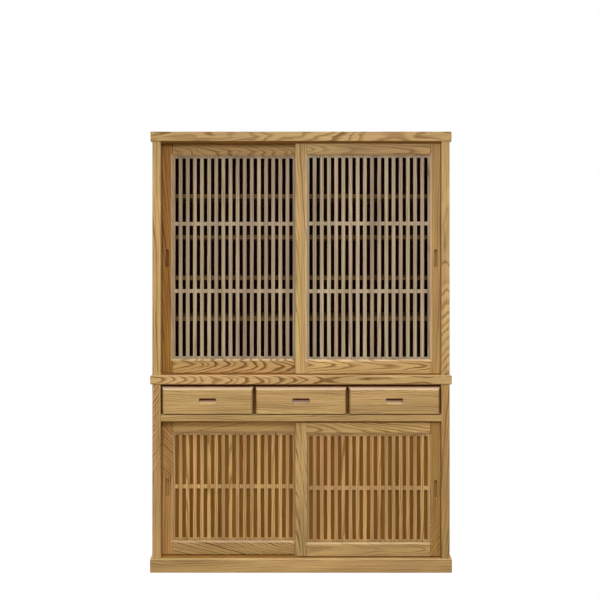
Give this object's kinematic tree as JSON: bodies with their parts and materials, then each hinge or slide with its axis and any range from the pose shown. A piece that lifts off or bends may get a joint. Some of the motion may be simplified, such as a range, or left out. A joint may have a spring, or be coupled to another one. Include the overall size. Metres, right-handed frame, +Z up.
{
  "type": "kitchen cupboard",
  "caption": "Two-piece ash kitchen cupboard with sliding lattice doors, glazed above and panelled below, and a row of drawers between.",
  "frame": {"origin": "on the floor, under the middle of the cupboard", "axes": "+Z up, +X to the right as seen from the front, the front faces -Y"},
  "size_m": [1.3, 0.45, 1.9],
  "materials": {
    "ash_front": "clear satin lacquer",
    "ash_lattice": "clear satin lacquer",
    "ash_side": "lacquered veneer",
    "inner_wood": "sealed plywood",
    "door_panel": "lacquered veneer",
    "drawer_wood": "bare sanded",
    "smoked_glass": "bronze tint"
  },
  "bodies": {
    "carcass": {"counter": "ash_front", "drawer_deck": "inner_wood", "drawer_dividers": "inner_wood", "drawer_rail": "ash_front", "drawer_side_guides": "inner_wood", "drawer_stretcher": "inner_wood", "lower_back_panel": "inner_wood", "lower_floor": "inner_wood", "lower_head_guides": "inner_wood", "lower_left_post": "ash_front", "lower_left_side": "ash_side", "lower_partition": "inner_wood", "lower_right_post": "ash_front", "lower_right_side": "ash_side", "lower_shelves": "inner_wood", "lower_sill": "inner_wood", "plinth_front": "ash_front", "plinth_returns": "ash_front", "shelf_cleats": "inner_wood", "top_board": "ash_front", "upper_back_panel": "inner_wood", "upper_floor": "inner_wood", "upper_head_guides": "inner_wood", "upper_left_post": "ash_front", "upper_left_side": "ash_side", "upper_partition": "inner_wood", "upper_right_post": "ash_front", "upper_right_side": "ash_side", "upper_shelves": "inner_wood", "upper_sill": "ash_front"},
    "upper_left_door": {"upper_left_door_beads": "inner_wood", "upper_left_door_glass": "smoked_glass", "upper_left_door_lattice": "ash_lattice", "upper_left_door_meeting_stile": "ash_front", "upper_left_door_pull_stile": "ash_front", "upper_left_door_rails": "ash_front"},
    "upper_right_door": {"upper_right_door_beads": "inner_wood", "upper_right_door_glass": "smoked_glass", "upper_right_door_lattice": "ash_lattice", "upper_right_door_meeting_stile": "ash_front", "upper_right_door_pull_stile": "ash_front", "upper_right_door_rails": "ash_front"},
    "lower_left_door": {"lower_left_door_beads": "inner_wood", "lower_left_door_lattice": "ash_lattice", "lower_left_door_meeting_stile": "ash_front", "lower_left_door_panel": "door_panel", "lower_left_door_pull_stile": "ash_front", "lower_left_door_rails": "ash_front"},
    "lower_right_door": {"lower_right_door_beads": "inner_wood", "lower_right_door_lattice": "ash_lattice", "lower_right_door_meeting_stile": "ash_front", "lower_right_door_panel": "door_panel", "lower_right_door_pull_stile": "ash_front", "lower_right_door_rails": "ash_front"},
    "left_drawer": {"left_drawer_box": "drawer_wood", "left_drawer_front": "ash_front"},
    "middle_drawer": {"middle_drawer_box": "drawer_wood", "middle_drawer_front": "ash_front"},
    "right_drawer": {"right_drawer_box": "drawer_wood", "right_drawer_front": "ash_front"}
  },
  "joints": [
    {"name": "upper_left_door_slide", "type": "slide", "parent": "carcass", "child": "upper_left_door", "axis": [1, 0, 0], "range_m": [0, 0.578]},
    {"name": "upper_right_door_slide", "type": "slide", "parent": "carcass", "child": "upper_right_door", "axis": [1, 0, 0], "range_m": [-0.578, 0]},
    {"name": "lower_left_door_slide", "type": "slide", "parent": "carcass", "child": "lower_left_door", "axis": [1, 0, 0], "range_m": [0, 0.578]},
    {"name": "lower_right_door_slide", "type": "slide", "parent": "carcass", "child": "lower_right_door", "axis": [1, 0, 0], "range_m": [-0.578, 0]},
    {"name": "left_drawer_slide", "type": "slide", "parent": "carcass", "child": "left_drawer", "axis": [0, -1, 0], "range_m": [0, 0.3]},
    {"name": "middle_drawer_slide", "type": "slide", "parent": "carcass", "child": "middle_drawer", "axis": [0, -1, 0], "range_m": [0, 0.3]},
    {"name": "right_drawer_slide", "type": "slide", "parent": "carcass", "child": "right_drawer", "axis": [0, -1, 0], "range_m": [0, 0.3]}
  ]
}
